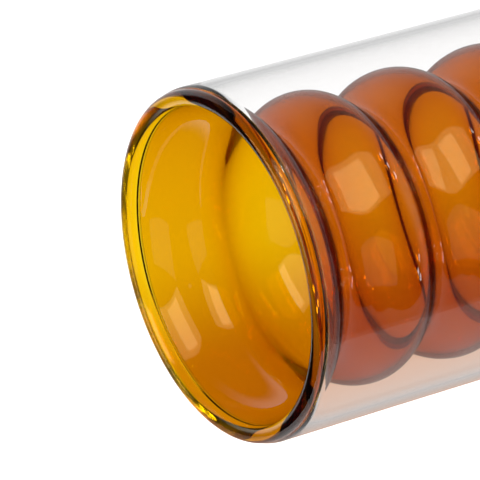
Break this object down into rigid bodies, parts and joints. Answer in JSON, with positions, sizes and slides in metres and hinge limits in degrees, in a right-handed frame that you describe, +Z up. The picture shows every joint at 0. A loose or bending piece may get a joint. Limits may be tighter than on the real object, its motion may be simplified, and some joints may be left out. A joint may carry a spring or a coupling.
{
  "type": "double-walled glass vase",
  "caption": "Tall straight glass vase: a clear cylindrical sleeve around a rippled amber liner, fused together at a rounded amber rim.",
  "frame": {"origin": "centre of the vase's axis on the surface it stands on, at the foot ring", "axes": "+Z up along the vase's axis towards the mouth; X and Y across it, any way round"},
  "size_m": [0.1, 0.1, 0.24],
  "materials": {
    "clear_glass": "fire-polished clear glass with a faint hand-worked waviness",
    "clear_glass_base": "fire-polished clear glass, slightly worn on the foot ring",
    "amber_glass": "transparent amber glass, coloured in the mass",
    "amber_glass_rim": "fire-polished amber glass, darker where it is thick"
  },
  "bodies": {
    "root": {"outer_sleeve": "clear_glass", "base_disc": "clear_glass_base", "inner_liner": "amber_glass", "rim_bead": "amber_glass_rim", "vent_seal": "clear_glass_base"}
  },
  "joints": []
}
